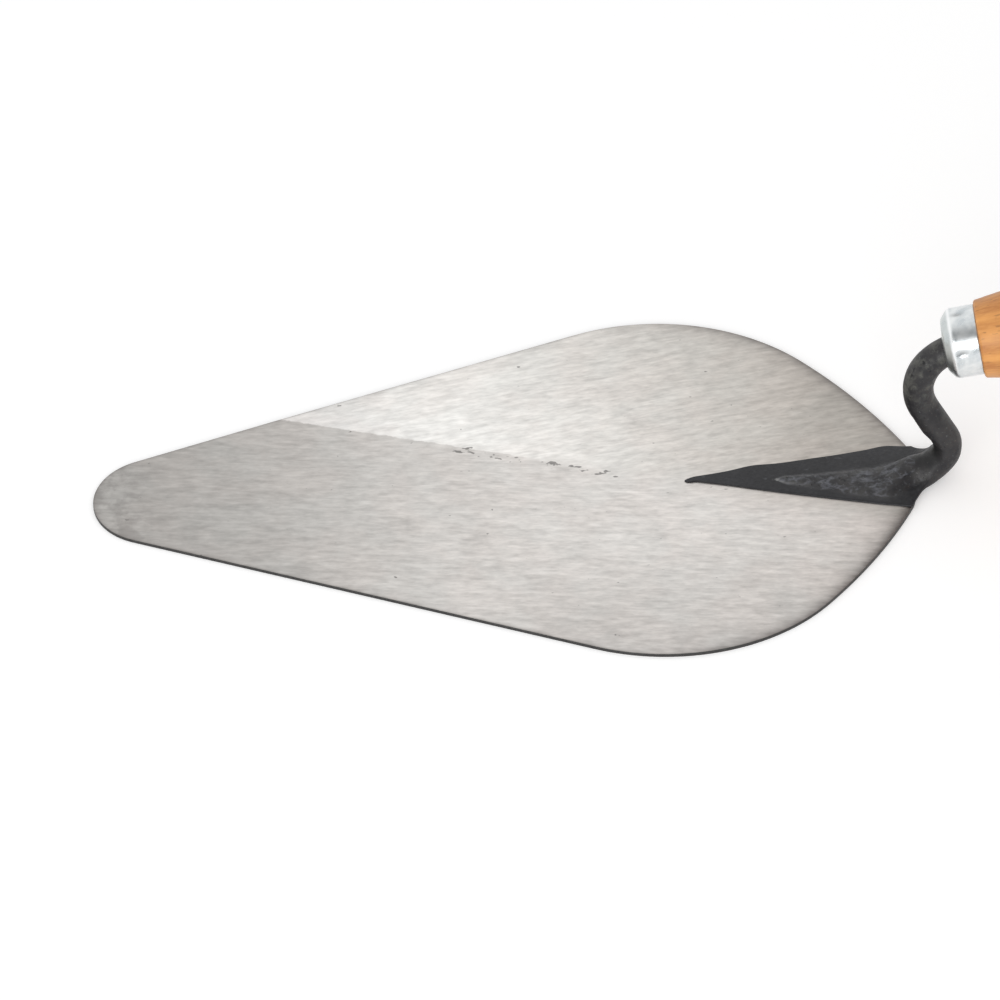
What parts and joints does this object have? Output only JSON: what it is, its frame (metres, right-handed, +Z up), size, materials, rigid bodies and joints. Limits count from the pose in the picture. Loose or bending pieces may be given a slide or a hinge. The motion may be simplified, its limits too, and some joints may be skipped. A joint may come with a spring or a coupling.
{
  "type": "brick trowel",
  "caption": "Brick trowel with a flat rounded-heel steel blade, a black forged swan-neck shank, a plated ferrule and a turned wooden handle.",
  "frame": {"origin": "on the flat underside of the blade, on its centre line, beneath the widest station", "axes": "+X from the blade's tip to the handle's butt, +Y to the left of that direction, +Z up, away from the work"},
  "size_m": [0.3837, 0.1506, 0.087],
  "materials": {
    "ground_steel": "coarse linear grind, unpolished",
    "forge_black": "forge scale under thin black varnish",
    "zinc_plate": "bright zinc plate",
    "lacquered_beech": "clear amber lacquer"
  },
  "bodies": {
    "root": {"blade": "ground_steel", "shank": "forge_black", "ferrule": "zinc_plate", "handle": "lacquered_beech"}
  },
  "joints": []
}
